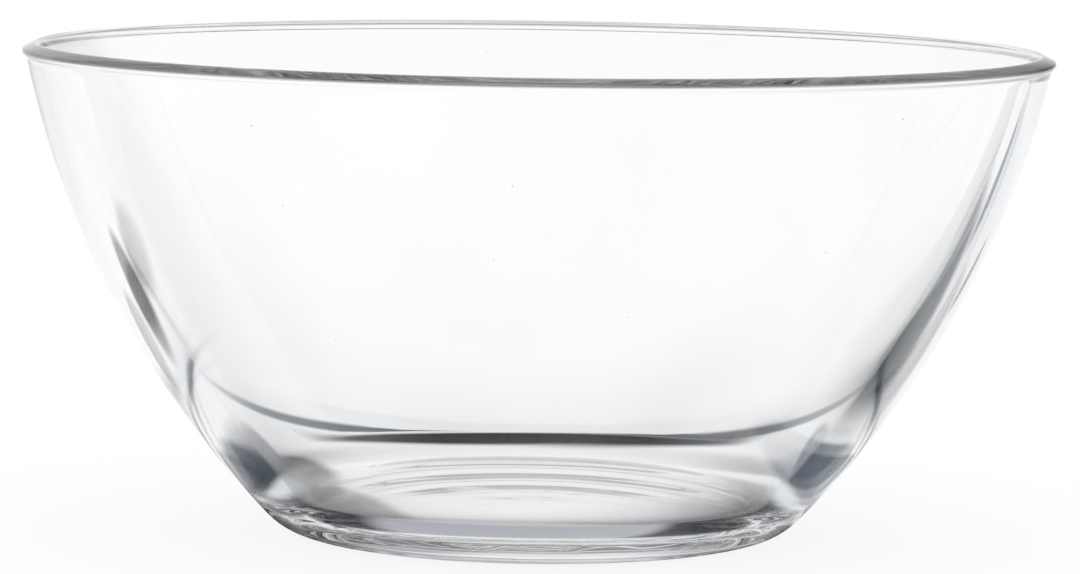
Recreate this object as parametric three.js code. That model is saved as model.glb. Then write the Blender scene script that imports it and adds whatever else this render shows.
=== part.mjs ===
// A clear pressed-glass salad bowl: one solid of revolution, turned from a half section of tangent arcs.
// Millimetres, +Z up. The origin is the centre of the foot, on the surface that the bowl stands on.
import * as THREE from "three";

// Overall sizes.
const RIM_DIAMETER = 230; // over the nose of the lip
const BOWL_HEIGHT = 109; // table to the crown of the lip

// Lip: a nose that overhangs the wall and a crown above and inside it, both of one round, fire-polished.
const LIP_RADIUS = 0.9;
const LIP_RISE = 1; // crown's centre above the nose's centre
const LIP_LEAN = 2.2; // crown's centre inside the nose's centre
const LIP_OVERHANG = 0.7; // nose past the wall's arc, level with the nose's centre
const NECK_FILLET = 1; // hollow round where the wall meets the nose

// Outer wall: one arc from the foot up to the lip.
const FOOT_DIAMETER = 111.2; // where the wall's arc would meet the table
const WALL_ARC_RADIUS = 210;
const HEEL_RADIUS = 14; // round between the wall and the table

// Inside: an arc down from the crown, a round and a flat floor over the thick base.
const INNER_ARC_RADIUS = 236;
const GAUGE_HEIGHT = 40; // where the wall's thickness is given
const GAUGE_WALL = 8.5; // outer arc to inner arc, measured level at that height
const FLOOR_CORNER_RADIUS = 14.5;
const FLOOR_HEIGHT = 9; // table to the floor

// Underside: a shallow dome inside a flat ring to stand on.
const BEARING_WIDTH = 2.5;
const PUNT_DEPTH = 1.3;

// Facets.
const TURN_STEPS = 72;
const CHORD_ERROR = 0.05; // most that a facet lies off its arc in the section

const GLASS = new THREE.MeshStandardMaterial({
  color: 0xeaf2f1,
  roughness: 0.02,
  metalness: 0,
  transparent: true,
  opacity: 0.35,
});

// In the section, x is the radius and y is the height.
const OUTWARD = 0;
const UP = Math.PI / 2;
const DOWN = -Math.PI / 2;
const point = (radius, height) => new THREE.Vector2(radius, height);
const bearing = (from, to) => Math.atan2(to.y - from.y, to.x - from.x);

// The crossing of two circles that lies to the left of the line from a to b.
function crossing(a, radiusA, b, radiusB) {
  const gap = a.distanceTo(b);
  const along = (gap ** 2 + radiusA ** 2 - radiusB ** 2) / (2 * gap);
  const aside = Math.sqrt(radiusA ** 2 - along ** 2);
  const ahead = b.clone().sub(a).normalize();
  const left = point(-ahead.y, ahead.x);
  return a.clone().addScaledVector(ahead, along).addScaledVector(left, aside);
}

// The point of an arc's outer side that lies at this height.
function arcAtHeight(centre, radius, height) {
  return point(centre.x + Math.sqrt(radius ** 2 - (height - centre.y) ** 2), height);
}

// Points along an arc, the shorter way round, as many as the chord error needs.
function arcPoints(centre, radius, startAngle, endAngle) {
  const turn = THREE.MathUtils.euclideanModulo(endAngle - startAngle + Math.PI, 2 * Math.PI) - Math.PI;
  const stepAngle = 2 * Math.acos(1 - CHORD_ERROR / radius);
  const steps = Math.ceil(Math.abs(turn) / stepAngle);
  const clockwise = turn < 0;
  const arc = new THREE.EllipseCurve(
    centre.x, centre.y, radius, radius, startAngle, startAngle + turn, clockwise);
  return arc.getPoints(steps);
}

// The half section: from the axis under the foot, up the outside, over the lip and down to the axis on the floor.
function bowlSection() {
  const nose = point(RIM_DIAMETER / 2 - LIP_RADIUS, BOWL_HEIGHT - LIP_RADIUS - LIP_RISE);
  const crown = point(nose.x - LIP_LEAN, nose.y + LIP_RISE);
  const lipSlope = bearing(nose, crown) - Math.PI / 2;

  const foot = point(FOOT_DIAMETER / 2, 0);
  const neck = point(RIM_DIAMETER / 2 - LIP_OVERHANG, nose.y);
  const wall = crossing(foot, WALL_ARC_RADIUS, neck, WALL_ARC_RADIUS);
  const heel = arcAtHeight(wall, WALL_ARC_RADIUS - HEEL_RADIUS, HEEL_RADIUS);
  const hollow = crossing(nose, LIP_RADIUS + NECK_FILLET, wall, WALL_ARC_RADIUS + NECK_FILLET);

  const gauge = arcAtHeight(wall, WALL_ARC_RADIUS, GAUGE_HEIGHT);
  gauge.x -= GAUGE_WALL;
  const inner = crossing(gauge, INNER_ARC_RADIUS, crown, INNER_ARC_RADIUS + LIP_RADIUS);
  const corner = arcAtHeight(
    inner, INNER_ARC_RADIUS - FLOOR_CORNER_RADIUS, FLOOR_HEIGHT + FLOOR_CORNER_RADIUS);

  const puntEdge = point(heel.x - BEARING_WIDTH, 0);
  const puntRadius = (puntEdge.x ** 2 + PUNT_DEPTH ** 2) / (2 * PUNT_DEPTH);
  const punt = point(0, PUNT_DEPTH - puntRadius);

  return [
    ...arcPoints(punt, puntRadius, UP, bearing(punt, puntEdge)),
    ...arcPoints(heel, HEEL_RADIUS, DOWN, bearing(wall, heel)),
    ...arcPoints(wall, WALL_ARC_RADIUS, bearing(wall, heel), bearing(wall, hollow)),
    ...arcPoints(hollow, NECK_FILLET, bearing(hollow, wall), bearing(hollow, nose)),
    ...arcPoints(nose, LIP_RADIUS, bearing(nose, hollow), OUTWARD),
    ...arcPoints(nose, LIP_RADIUS, OUTWARD, lipSlope),
    ...arcPoints(crown, LIP_RADIUS, lipSlope, UP),
    ...arcPoints(crown, LIP_RADIUS, UP, bearing(crown, inner)),
    ...arcPoints(inner, INNER_ARC_RADIUS, bearing(inner, crown), bearing(inner, corner)),
    ...arcPoints(corner, FLOOR_CORNER_RADIUS, bearing(inner, corner), DOWN),
    point(0, FLOOR_HEIGHT),
  ];
}

// Arcs that follow each other share an end point, which is kept once. The first and last points lie on the axis.
function joinedSection(points) {
  const apart = 1e-6;
  const kept = points.filter((p, i) => i === 0 || p.distanceTo(points[i - 1]) > apart);
  kept[0].x = 0;
  kept.at(-1).x = 0;
  return kept;
}

function glassBowl() {
  const turned = new THREE.LatheGeometry(joinedSection(bowlSection()), TURN_STEPS);
  turned.rotateX(Math.PI / 2);
  const mesh = new THREE.Mesh(turned, GLASS);
  mesh.name = "glass_bowl";
  return mesh;
}

const saladBowl = new THREE.Group();
saladBowl.add(glassBowl());

export default saladBowl;
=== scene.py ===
"""A clear pressed-glass salad bowl on a white sweep: turned glass, its finish, the studio and the camera."""
import math

import bpy
import numpy as np
from mathutils import Matrix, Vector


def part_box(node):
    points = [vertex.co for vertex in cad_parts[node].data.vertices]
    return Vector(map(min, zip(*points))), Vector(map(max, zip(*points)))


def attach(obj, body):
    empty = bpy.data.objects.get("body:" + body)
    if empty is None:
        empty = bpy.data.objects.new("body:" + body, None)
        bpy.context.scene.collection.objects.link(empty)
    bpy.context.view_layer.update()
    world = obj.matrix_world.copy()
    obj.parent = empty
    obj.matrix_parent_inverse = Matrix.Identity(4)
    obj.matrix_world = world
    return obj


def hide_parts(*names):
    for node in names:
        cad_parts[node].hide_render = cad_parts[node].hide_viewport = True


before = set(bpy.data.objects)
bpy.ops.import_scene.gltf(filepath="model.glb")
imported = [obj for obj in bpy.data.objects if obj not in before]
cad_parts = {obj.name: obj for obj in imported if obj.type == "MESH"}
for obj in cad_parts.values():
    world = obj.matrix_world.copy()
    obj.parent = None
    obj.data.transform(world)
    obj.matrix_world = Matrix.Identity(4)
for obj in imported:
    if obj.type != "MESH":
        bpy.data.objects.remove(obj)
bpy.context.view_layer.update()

MM = 0.001

# Lip: a nose that overhangs the wall and a crown above and inside it, in millimetres.
LIP_RADIUS = 0.9
LIP_RISE = 1.0  # crown's centre above the nose's centre
LIP_LEAN = 2.2  # crown's centre inside the nose's centre
LIP_OVERHANG = 0.7  # nose past the wall's arc
NECK_FILLET = 1.0  # hollow round where the wall meets the nose

# Outer wall and foot, in millimetres.
FOOT_RADIUS = 55.6  # where the wall's arc would meet the table
WALL_ARC_RADIUS = 210.0
HEEL_RADIUS = 14.0  # round between the wall and the table
BEARING_WIDTH = 2.5  # flat ring that the bowl stands on
PUNT_DEPTH = 1.3  # shallow dome of the underside

# Inside: an arc down from the crown, a round and a flat floor, in millimetres.
INNER_ARC_RADIUS = 236.0
GAUGE_HEIGHT = 40.0  # where the wall's thickness is given
GAUGE_WALL = 8.5  # level thickness of the wall at that height
FLOOR_CORNER_RADIUS = 14.5
FLOOR_HEIGHT = 9.0  # table to the floor

# Mesh.
TURN_STEPS = 300
SECTION_STEP = 1.25  # millimetres between the section's points
SECTION_TURN = math.radians(12)  # most that the section turns between two points

# Ripple of the pressed skin. Each wave has a count round the bowl, a length along the section in millimetres
# per radian, and a start in radians.
RIPPLE_DEPTH = 0.06  # most that the skin lies under the true turned form, in millimetres
RIPPLE_FADE = 20.0  # distance from the axis within which the ripple dies out
RIPPLE_WAVES = [(2, 19, 0), (3, -13, 2), (7, 29, 4)]

# Finish and the lip's painted shade, in millimetres.
SPECK_SPACING = 16.0
SPECK_RADIUS = 0.4
FILM_SIZE = 45.0  # of the cloudy patches that washing leaves
FILM_CLOUD = (0.45, 0.75)  # cloud noise where the film starts and where it is full
# Painted shade: a dark line coloured onto the lip's nose stands in for the dark rim that clear glass shows by
# refraction.
LIP_SHADE_RADIUS = 112.2  # from the axis to the inner edge of the painted shade, a dark line on the lip's nose
LIP_SHADE_HEIGHT = 107.1  # table to the lower edge of that line
LIP_SHADE_RADIUS_BLUR = 0.5  # half width of the inner edge
LIP_SHADE_HEIGHT_BLUR = 0.3  # half width of the lower edge

# Studio.
FLOOR_REACH = 6.0  # metres from the bowl to the floor's edge
FLOOR_GAP = 0.05 * MM  # between the foot and the floor
CARD_GLOW = 0.9  # of white, before the light that falls on the card
SKINS_OF_ONE_WALL = 2  # a ray crosses the glass's skin on both sides of a wall
BOUNCES = 100
WHITE = "#FFFFFF"

# What glass sees round the bowl: round panels on a white canopy, each laid over those before it. A row gives
# the azimuth from +Y to +X and the elevation of its middle and its radius, in degrees, the share of the
# radius that is full, and its colour.
PANELS = [
    (-100, 23, 90, 0.90, "#F0F1F2"),  # room on the left and behind the camera
    (-68, 53, 27, 0.30, "#8E9296"),  # grey flag high on the left
    (31, 12, 31, 0.25, "#808488"),  # grey flag low on the right
    (52, 46, 32, 0.25, "#1E2124"),  # black flag high on the right
    (96, 70, 41, 0.10, "#C4C6C8"),  # grey flag overhead
    (-41, 35, 22, 0.70, "#B4B6B8"),  # grey flag behind on the left
]
# Soft shadows on the floor that glass shows, each an ellipse laid over those before it. A row gives its
# centre in metres, its heading in degrees from +Y to +X, its half width and half length in metres, the share
# of the way out that is full, and its colour.
SHADOWS = [
    ((0.015, 0.020), -5, (0.220, 0.130), 0.10, "#B4B9BE"),  # broad and soft, round the bowl
    ((0.000, 0.000), 0, (0.122, 0.122), 0.96, "#5A6068"),  # of the rim
    ((0.000, -0.012), 0, (0.120, 0.123), 0.97, "#F4F5F6"),  # light inside the rim's shadow
    ((-0.004, 0.120), 0, (0.072, 0.014), 0.80, "#F4F5F6"),  # light that breaks the rim's shadow, behind
    ((-0.006, 0.006), -15, (0.093, 0.073), 0.70, "#333A43"),  # of the base
    ((-0.074, 0.010), -15, (0.013, 0.040), 0.65, "#39424D"),  # of the heel, on the left
    ((0.079, 0.001), 8, (0.009, 0.060), 0.75, "#5A636E"),  # of the heel, on the right
    ((0.000, -0.012), 0, (0.070, 0.070), 0.95, "#E4E7EA"),  # light that the heel throws round the foot
    ((0.000, -0.012), 0, (0.065, 0.065), 0.93, "#20262D"),  # of the foot
    ((-0.004, 0.029), 36, (0.072, 0.082), 0.40, "#FEFEFE"),  # light that comes down through the base
    ((0.152, 0.072), 30, (0.036, 0.126), 0.55, "#12161B"),  # of the right wall
    ((0.285, 0.232), 35, (0.022, 0.330), 0.85, "#AFB3B6"),  # of the right wall, farther off
    ((0.193, 0.208), 24, (0.010, 0.085), 0.50, "#2A2F36"),  # of the right wall, a narrow streak
    ((-0.145, 0.090), -36, (0.020, 0.052), 0.60, "#12161B"),  # of the left wall
    ((-0.170, 0.063), -38, (0.024, 0.038), 0.50, "#12161B"),  # of the left wall, farther off
    ((-0.059, 0.018), -15, (0.016, 0.026), 0.60, "#171C22"),  # of the floor's round, on the left
    ((0.050, -0.026), 11, (0.014, 0.026), 0.55, "#12161B"),  # of the foot, on the right
    ((-0.046, -0.014), -22, (0.018, 0.048), 0.70, "#12161B"),  # of the foot, on the left
    ((-0.001, -0.049), 99, (0.017, 0.045), 0.70, "#B1B3BA"),  # of the foot, in front
    ((0.003, -0.083), 94, (0.024, 0.084), 0.40, "#101216"),  # of the wall, in front
    ((-0.010, 0.089), 78, (0.018, 0.064), 0.60, "#101114"),  # of the wall, behind
    ((0.032, 0.088), 78, (0.018, 0.052), 0.30, "#101114"),  # of the wall, behind on the right
]

# Photograph's view: the camera stands in front of the bowl and looks a little down at it.
IMAGE_WIDTH = 1080  # pixels
CAMERA_DISTANCE = 1.2237  # metres from the bowl's axis
CAMERA_HEIGHT = 0.1787
AIM_HEIGHT = 0.0550  # on the bowl's axis
FOCAL_PIXELS = 5489.2
FRAME_SHIFT = 4.2  # pixels that the bowl stands left of the frame's middle
CAMERA_ROLL = math.radians(0.85)
SENSOR_WIDTH = 36.0

# Node settings. A colour mix lays colour OVER on colour UNDER by its SHARE, and gives them MIXED.
SMOOTH = {"interpolation_type": "SMOOTHSTEP"}
COLOUR_MIX = {"data_type": "RGBA"}
SHARE, UNDER, OVER = 0, 6, 7
MIXED = 2


def linear(hex_colour):
    """Turn an sRGB hex colour into linear RGBA."""
    channels = [int(hex_colour[i:i + 2], 16) / 255 for i in (1, 3, 5)]
    return [c / 12.92 if c <= 0.04045 else ((c + 0.055) / 1.055) ** 2.4 for c in channels] + [1.0]


def add(tree, kind, settings=None, sockets=None):
    """Add a node: settings are its properties, sockets its inputs' values or the outputs linked to them."""
    made = tree.nodes.new(kind)
    for name, value in (settings or {}).items():
        setattr(made, name, value)
    for name, value in (sockets or {}).items():
        if isinstance(value, bpy.types.NodeSocket):
            tree.links.new(value, made.inputs[name])
        else:
            made.inputs[name].default_value = value
    return made


def bearing(start, end):
    """Direction from one point of the section to another, in radians."""
    return math.atan2(end[1] - start[1], end[0] - start[0])


def crossing(a, radius_a, b, radius_b):
    """Where two circles cross, on the left of the line from a to b."""
    gap = math.dist(a, b)
    ahead = (b - a) / gap
    along = (gap ** 2 + radius_a ** 2 - radius_b ** 2) / (2 * gap)
    aside = math.sqrt(radius_a ** 2 - along ** 2)
    return a + along * ahead + aside * np.array([-ahead[1], ahead[0]])


def arc_at_height(centre, radius, height):
    """The point of an arc's outer side that lies at this height."""
    return np.array([centre[0] + math.sqrt(radius ** 2 - (height - centre[1]) ** 2), height])


def arc(centre, radius, start, end):
    """Points centre + radius (cos t, sin t), the shorter way from start to end, without the last."""
    turn = (end - start + math.pi) % (2 * math.pi) - math.pi
    steps = math.ceil(max(abs(turn) * radius / SECTION_STEP, abs(turn) / SECTION_TURN))
    t = start + turn * np.arange(steps) / steps
    return centre + radius * np.column_stack([np.cos(t), np.sin(t)])


def bowl_section(rim_radius, height):
    """Half section of tangent arcs, as (radius, height) rows in millimetres.

    It runs from the axis under the foot, out to the heel, up the outer wall, over the lip and down the inside
    to the axis on the floor. From the heel up, each arc is tangent to the next, so the glass has no ridge.
    """
    up, down, outward = math.pi / 2, -math.pi / 2, 0.0
    nose = np.array([rim_radius - LIP_RADIUS, height - LIP_RADIUS - LIP_RISE])
    crown = nose + [-LIP_LEAN, LIP_RISE]
    lip_slope = bearing(nose, crown) - math.pi / 2

    foot = np.array([FOOT_RADIUS, 0.0])
    neck = np.array([rim_radius - LIP_OVERHANG, nose[1]])
    wall = crossing(foot, WALL_ARC_RADIUS, neck, WALL_ARC_RADIUS)
    heel = arc_at_height(wall, WALL_ARC_RADIUS - HEEL_RADIUS, HEEL_RADIUS)
    hollow = crossing(nose, LIP_RADIUS + NECK_FILLET, wall, WALL_ARC_RADIUS + NECK_FILLET)

    gauge = arc_at_height(wall, WALL_ARC_RADIUS, GAUGE_HEIGHT) - [GAUGE_WALL, 0.0]
    inner = crossing(gauge, INNER_ARC_RADIUS, crown, INNER_ARC_RADIUS + LIP_RADIUS)
    corner = arc_at_height(inner, INNER_ARC_RADIUS - FLOOR_CORNER_RADIUS, FLOOR_HEIGHT + FLOOR_CORNER_RADIUS)

    punt_edge = np.array([heel[0] - BEARING_WIDTH, 0.0])
    punt_radius = (punt_edge[0] ** 2 + PUNT_DEPTH ** 2) / (2 * PUNT_DEPTH)
    punt = np.array([0.0, PUNT_DEPTH - punt_radius])

    return np.vstack([
        arc(punt, punt_radius, up, bearing(punt, punt_edge)),
        np.linspace(punt_edge, [heel[0], 0.0], math.ceil(BEARING_WIDTH / SECTION_STEP), endpoint=False),
        arc(heel, HEEL_RADIUS, down, bearing(wall, heel)),
        arc(wall, WALL_ARC_RADIUS, bearing(wall, heel), bearing(wall, hollow)),
        arc(hollow, NECK_FILLET, bearing(hollow, wall), bearing(hollow, nose)),
        arc(nose, LIP_RADIUS, bearing(nose, hollow), outward),
        arc(nose, LIP_RADIUS, outward, lip_slope),
        arc(crown, LIP_RADIUS, lip_slope, up),
        arc(crown, LIP_RADIUS, up, bearing(crown, inner)),
        arc(inner, INNER_ARC_RADIUS, bearing(inner, crown), bearing(inner, corner)),
        arc(corner, FLOOR_CORNER_RADIUS, bearing(inner, corner), down),
        np.linspace([corner[0], FLOOR_HEIGHT], [0.0, FLOOR_HEIGHT], math.ceil(corner[0] / SECTION_STEP)),
    ])


def turned_mesh(name, section):
    """Turn a half section about Z: (r, z) goes to (r cos a, r sin a, z) on a grid of points by angles.

    The skin lies a ripple's depth inside that form, by a sum of slow sines of the angle and of the distance
    along the section. The section's two ends lie on the axis, where fans of triangles close the skin.
    """
    ring = section[1:-1]
    count = len(ring)
    ahead = section[2:] - section[:-2]
    ahead /= np.linalg.norm(ahead, axis=1, keepdims=True)
    along = np.cumsum(np.linalg.norm(np.diff(section, axis=0), axis=1))[:-1]
    angle = (2 * math.pi * np.arange(TURN_STEPS) / TURN_STEPS)[:, None]
    waves = sum(np.sin(turns * angle + along / length + start) for turns, length, start in RIPPLE_WAVES)
    share = 0.5 + 0.5 * waves / len(RIPPLE_WAVES)
    depth = RIPPLE_DEPTH * share * np.minimum(ring[:, 0] / RIPPLE_FADE, 1)
    radius = ring[:, 0] - depth * ahead[:, 1]
    height = ring[:, 1] + depth * ahead[:, 0]
    skin = np.stack([np.cos(angle) * radius, np.sin(angle) * radius, height], axis=-1).reshape(-1, 3)
    poles = np.array([[0.0, 0.0, section[0, 1]], [0.0, 0.0, section[-1, 1]]])
    points = np.vstack([skin, poles]) * MM

    here = np.arange(TURN_STEPS) * count
    there = np.roll(here, -1)
    step = np.arange(count - 1)
    quads = np.stack([
        here[:, None] + step,
        there[:, None] + step,
        there[:, None] + step + 1,
        here[:, None] + step + 1,
    ], axis=-1).reshape(-1, 4)
    under = np.column_stack([np.full(TURN_STEPS, len(skin)), there, here])
    floor = np.column_stack([np.full(TURN_STEPS, len(skin) + 1), here + count - 1, there + count - 1])

    mesh = bpy.data.meshes.new(name)
    mesh.from_pydata(points.tolist(), [], quads.tolist() + under.tolist() + floor.tolist())
    mesh.polygons.foreach_set("use_smooth", np.ones(len(mesh.polygons), bool))
    mesh.update()
    return mesh


def soda_lime_glass():
    """Soda-lime glass, pressed and fire-polished.

    It is clear and mirror-smooth, with a faint cold tint where it is thick. A thin film from washing, a few
    specks and a dark line of painted shade on the lip's nose colour what passes through its skin.
    """
    material = bpy.data.materials.new("soda_lime_glass")
    material.use_nodes = True
    tree = material.node_tree
    tree.nodes.clear()
    place = add(tree, "ShaderNodeTexCoord").outputs["Object"]

    cloud = add(tree, "ShaderNodeTexNoise", sockets={
        "Vector": place, "Scale": 1 / (FILM_SIZE * MM), "Detail": 3.0})
    film = add(tree, "ShaderNodeMapRange", SMOOTH, {
        "Value": cloud.outputs[0], "From Min": FILM_CLOUD[0], "From Max": FILM_CLOUD[1]})
    washed = add(tree, "ShaderNodeMix", COLOUR_MIX, {
        SHARE: film.outputs["Result"], UNDER: linear(WHITE), OVER: linear("#FDFDFD")})

    grains = add(tree, "ShaderNodeTexVoronoi", sockets={"Vector": place, "Scale": 1 / (SPECK_SPACING * MM)})
    speck = add(tree, "ShaderNodeMapRange", SMOOTH, {
        "Value": grains.outputs["Distance"], "From Min": SPECK_RADIUS / SPECK_SPACING, "From Max": 0.0})
    dusted = add(tree, "ShaderNodeMix", COLOUR_MIX, {
        SHARE: speck.outputs["Result"], UNDER: washed.outputs[MIXED], OVER: linear("#5A5A5C")})

    level = add(tree, "ShaderNodeVectorMath", {"operation": "MULTIPLY"}, {0: place, 1: (1.0, 1.0, 0.0)})
    radius = add(tree, "ShaderNodeVectorMath", {"operation": "LENGTH"}, {0: level.outputs[0]})
    height = add(tree, "ShaderNodeSeparateXYZ", sockets={0: place})
    outside = add(tree, "ShaderNodeMapRange", SMOOTH, {
        "Value": radius.outputs["Value"],
        "From Min": (LIP_SHADE_RADIUS - LIP_SHADE_RADIUS_BLUR) * MM,
        "From Max": (LIP_SHADE_RADIUS + LIP_SHADE_RADIUS_BLUR) * MM,
    })
    above = add(tree, "ShaderNodeMapRange", SMOOTH, {
        "Value": height.outputs["Z"],
        "From Min": (LIP_SHADE_HEIGHT - LIP_SHADE_HEIGHT_BLUR) * MM,
        "From Max": (LIP_SHADE_HEIGHT + LIP_SHADE_HEIGHT_BLUR) * MM,
    })
    nose = add(tree, "ShaderNodeMath", {"operation": "MULTIPLY"}, {
        0: outside.outputs["Result"], 1: above.outputs["Result"]})
    # Painted shade: the lip's nose is darkened to a grey-brown line that stands in for the rim's shade.
    lip_shaded = add(tree, "ShaderNodeMix", COLOUR_MIX, {
        SHARE: nose.outputs[0], UNDER: dusted.outputs[MIXED], OVER: linear("#6A6462")})

    bsdf = add(tree, "ShaderNodeBsdfPrincipled", sockets={
        "Base Color": lip_shaded.outputs[MIXED],
        "Roughness": 0.0,
        "IOR": 1.52,
        "Transmission Weight": 1.0,
    })
    tint = add(tree, "ShaderNodeVolumeAbsorption", sockets={"Color": linear("#E9ECF0"), "Density": 1.5})
    add(tree, "ShaderNodeOutputMaterial", sockets={
        "Surface": bsdf.outputs["BSDF"], "Volume": tint.outputs["Volume"]})
    return material


def glass_bowl():
    """The whole bowl, in one piece of glass."""
    low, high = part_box("glass_bowl")
    section = bowl_section(high.x / MM, (high.z - low.z) / MM)
    bowl = bpy.data.objects.new("turned_glass_bowl", turned_mesh("turned_glass_bowl", section))
    bpy.context.scene.collection.objects.link(bowl)
    bowl.data.materials.append(soda_lime_glass())
    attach(bowl, "root")
    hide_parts("glass_bowl")


def white_sweep_card():
    """Matt white card, white to the camera apart from the bowl's shadow.

    Glass shows soft shadows on it, but straight through one wall of the glass it stays pale.
    """
    material = bpy.data.materials.new("white_card")
    material.use_nodes = True
    tree = material.node_tree
    tree.nodes.clear()
    place = add(tree, "ShaderNodeTexCoord").outputs["Object"]
    card = linear(WHITE)
    for centre, heading, half_sizes, core, colour in SHADOWS:
        inside = add(tree, "ShaderNodeMapping", {"vector_type": "TEXTURE"}, {
            "Vector": place,
            "Location": (*centre, 0.0),
            "Rotation": (0.0, 0.0, -math.radians(heading)),
            "Scale": (*half_sizes, 1.0),
        })
        away = add(tree, "ShaderNodeVectorMath", {"operation": "LENGTH"}, {0: inside.outputs[0]})
        cover = add(tree, "ShaderNodeMapRange", SMOOTH, {
            "Value": away.outputs["Value"], "From Min": 1.0, "From Max": core})
        card = add(tree, "ShaderNodeMix", COLOUR_MIX, {
            SHARE: cover.outputs["Result"], UNDER: card, OVER: linear(colour)}).outputs[MIXED]

    path = add(tree, "ShaderNodeLightPath")
    one_wall = add(tree, "ShaderNodeMath", {"operation": "COMPARE"}, {
        0: path.outputs["Ray Depth"], 1: SKINS_OF_ONE_WALL, 2: 0.5})
    pale = add(tree, "ShaderNodeMix", COLOUR_MIX, {
        SHARE: one_wall.outputs[0], UNDER: card, OVER: linear("#FCFCFD")})
    through_glass = add(tree, "ShaderNodeEmission", sockets={"Color": pale.outputs[MIXED], "Strength": 1.0})
    glow = add(tree, "ShaderNodeEmission", sockets={"Color": linear(WHITE), "Strength": CARD_GLOW})
    matt = add(tree, "ShaderNodeBsdfDiffuse", sockets={"Color": linear("#616161")})
    direct = add(tree, "ShaderNodeAddShader", sockets={0: glow.outputs[0], 1: matt.outputs[0]})
    both = add(tree, "ShaderNodeMixShader", sockets={
        0: path.outputs["Is Camera Ray"], 1: through_glass.outputs[0], 2: direct.outputs[0]})
    add(tree, "ShaderNodeOutputMaterial", sockets={"Surface": both.outputs[0]})
    return material


def sweep():
    """A level white floor under the bowl."""
    corners = FLOOR_REACH * np.array([[-1, -1, 0], [1, -1, 0], [1, 1, 0], [-1, 1, 0]]) - [0, 0, FLOOR_GAP]
    mesh = bpy.data.meshes.new("sweep")
    mesh.from_pydata(corners.tolist(), [], [[0, 1, 2, 3]])
    floor = bpy.data.objects.new("sweep", mesh)
    bpy.context.scene.collection.objects.link(floor)
    floor.data.materials.append(white_sweep_card())


def studio():
    """White at a plain level to the camera and to matt surfaces, with soft panels that only glass shows."""
    world = bpy.data.worlds.new("studio")
    bpy.context.scene.world = world
    world.use_nodes = True
    tree = world.node_tree
    tree.nodes.clear()
    direction = add(tree, "ShaderNodeTexCoord").outputs["Generated"]
    panels = linear(WHITE)
    for azimuth, elevation, radius, core, colour in PANELS:
        turn, rise, reach = math.radians(azimuth), math.radians(elevation), math.radians(radius)
        middle = (math.sin(turn) * math.cos(rise), math.cos(turn) * math.cos(rise), math.sin(rise))
        nearness = add(tree, "ShaderNodeVectorMath", {"operation": "DOT_PRODUCT"}, {0: direction, 1: middle})
        away = add(tree, "ShaderNodeMath", {"operation": "ARCCOSINE"}, {0: nearness.outputs["Value"]})
        cover = add(tree, "ShaderNodeMapRange", SMOOTH, {
            "Value": away.outputs[0], "From Min": reach, "From Max": reach * core})
        panels = add(tree, "ShaderNodeMix", COLOUR_MIX, {
            SHARE: cover.outputs["Result"], UNDER: panels, OVER: linear(colour)}).outputs[MIXED]

    path = add(tree, "ShaderNodeLightPath")
    by_glass = add(tree, "ShaderNodeMath", {"operation": "MAXIMUM"}, {
        0: path.outputs["Is Glossy Ray"], 1: path.outputs["Is Transmission Ray"]})
    shown = add(tree, "ShaderNodeMix", COLOUR_MIX, {
        SHARE: by_glass.outputs[0], UNDER: linear(WHITE), OVER: panels})
    sky = add(tree, "ShaderNodeBackground", sockets={"Color": shown.outputs[MIXED], "Strength": 1.0})
    add(tree, "ShaderNodeOutputWorld", sockets={"Surface": sky.outputs[0]})


def camera():
    """The photograph's camera: a long lens, a little above the rim."""
    data = bpy.data.cameras.new("camera")
    data.sensor_width = SENSOR_WIDTH
    data.lens = FOCAL_PIXELS * SENSOR_WIDTH / IMAGE_WIDTH
    data.shift_x = FRAME_SHIFT / IMAGE_WIDTH
    made = bpy.data.objects.new("camera", data)
    bpy.context.scene.collection.objects.link(made)
    made.location = (0.0, -CAMERA_DISTANCE, CAMERA_HEIGHT)
    pitch = math.atan2(CAMERA_HEIGHT - AIM_HEIGHT, CAMERA_DISTANCE)
    turn = Matrix.Rotation(math.pi / 2 - pitch, 3, "X") @ Matrix.Rotation(CAMERA_ROLL, 3, "Z")
    made.rotation_euler = turn.to_euler()
    bpy.context.scene.camera = made


def light_paths():
    """Plain colours, and enough bounces for light that runs round inside the wall to come out again."""
    scene = bpy.context.scene
    scene.view_settings.view_transform = "Standard"
    scene.cycles.max_bounces = BOUNCES
    scene.cycles.transmission_bounces = BOUNCES
    scene.cycles.glossy_bounces = BOUNCES
    scene.cycles.caustics_refractive = False
    scene.cycles.caustics_reflective = False


camera()
glass_bowl()
sweep()
studio()
light_paths()
